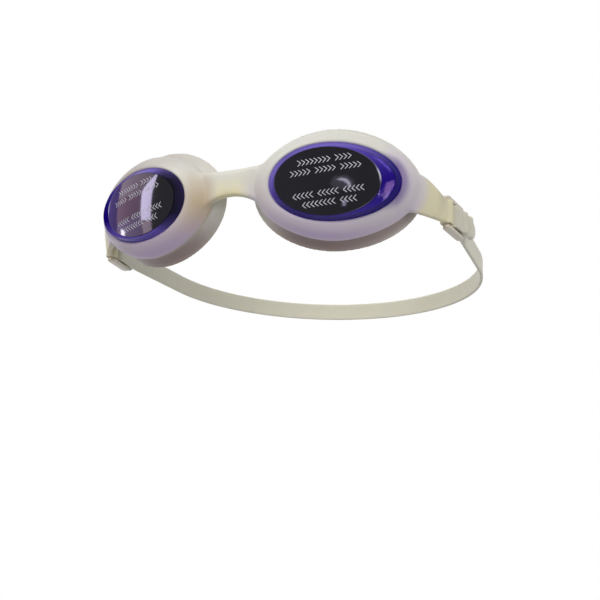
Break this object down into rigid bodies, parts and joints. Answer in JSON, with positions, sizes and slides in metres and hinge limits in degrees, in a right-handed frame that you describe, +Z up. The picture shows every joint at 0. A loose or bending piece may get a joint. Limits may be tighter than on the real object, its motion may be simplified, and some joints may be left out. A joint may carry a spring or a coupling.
{
  "type": "swimming goggles",
  "caption": "Swimming goggles with domed tinted lenses in soft silicone eye cups, a nose bridge, side buckles, lens films and an adjustable head strap.",
  "frame": {"origin": "under the middle of the whole object's bounding box, on the table that the cups and the back of the strap rest on", "axes": "+X towards the wearer's left, +Y back towards the head, +Z up"},
  "size_m": [0.1752, 0.1858, 0.0501],
  "materials": {
    "silicone_frame": "milky translucent soft silicone, satin",
    "tinted_lens": "clear moulded lens with a dark violet tint, glossy",
    "lens_film": "thin dark protective film with pale printed marks, glossy",
    "clear_buckle": "colourless moulded plastic, slightly milky",
    "strap_silicone": "milky translucent silicone band, satin"
  },
  "bodies": {
    "bridge": {"nose_bridge": "silicone_frame"},
    "eye_left": {"eye_cup_left": "silicone_frame", "side_arm_left": "silicone_frame", "lens_left": "tinted_lens"},
    "eye_right": {"eye_cup_right": "silicone_frame", "side_arm_right": "silicone_frame", "lens_right": "tinted_lens"},
    "film_left": {"film_left": "lens_film"},
    "film_right": {"film_right": "lens_film"},
    "buckle_left": {"buckle_left": "clear_buckle", "strap_wrap_left": "strap_silicone"},
    "buckle_right": {"buckle_right": "clear_buckle", "strap_wrap_right": "strap_silicone"},
    "tail_left": {"strap_tail_left": "strap_silicone"},
    "tail_right": {"strap_tail_right": "strap_silicone"},
    "strap": {"head_strap": "strap_silicone", "strap_side_left": "strap_silicone", "strap_side_right": "strap_silicone"}
  },
  "joints": [
    {"name": "flex_left", "type": "hinge", "parent": "bridge", "child": "eye_left", "pos_m": [0.0095, -0.08539, 0.02369], "axis": [0, 0, 1], "range_deg": [-4, 4], "stiffness_Nm_per_rad": 0.1, "deforming": ["nose_bridge"]},
    {"name": "flex_right", "type": "hinge", "parent": "bridge", "child": "eye_right", "pos_m": [-0.0095, -0.08539, 0.02369], "axis": [0, 0, 1], "range_deg": [-4, 4], "stiffness_Nm_per_rad": 0.1},
    {"name": "film_left_peel", "type": "slide", "parent": "eye_left", "child": "film_left", "axis": [0.2659, -0.9589, -0.0993], "range_m": [0, 0.025]},
    {"name": "film_right_peel", "type": "slide", "parent": "eye_right", "child": "film_right", "axis": [-0.2659, -0.9589, -0.0993], "range_m": [0, 0.025]},
    {"name": "strap_adjust", "type": "slide", "parent": "bridge", "child": "strap", "axis": [0, 0.9969, -0.0786], "range_m": [-0.008, 0], "deforming": ["strap_side_left", "strap_side_right"]},
    {"name": "buckle_left_turn", "type": "hinge", "parent": "eye_left", "child": "buckle_left", "pos_m": [0.0808, -0.05389, 0.01629], "axis": [0, -0.0786, -0.9969], "range_deg": [-4, 20]},
    {"name": "buckle_right_turn", "type": "hinge", "parent": "eye_right", "child": "buckle_right", "pos_m": [-0.0808, -0.05389, 0.01629], "axis": [0, 0.0786, 0.9969], "range_deg": [-4, 20]},
    {"name": "tail_left_feed", "type": "slide", "parent": "buckle_left", "child": "tail_left", "axis": [0.1564, 0.9846, -0.0777], "range_m": [0, 0.008]},
    {"name": "tail_right_feed", "type": "slide", "parent": "buckle_right", "child": "tail_right", "axis": [-0.1564, 0.9846, -0.0777], "range_m": [0, 0.008]}
  ],
  "couplings": [
    {"joint": "flex_right", "follows": "flex_left", "ratio": -1},
    {"joint": "tail_left_feed", "follows": "strap_adjust", "ratio": -1},
    {"joint": "tail_right_feed", "follows": "strap_adjust", "ratio": -1}
  ]
}
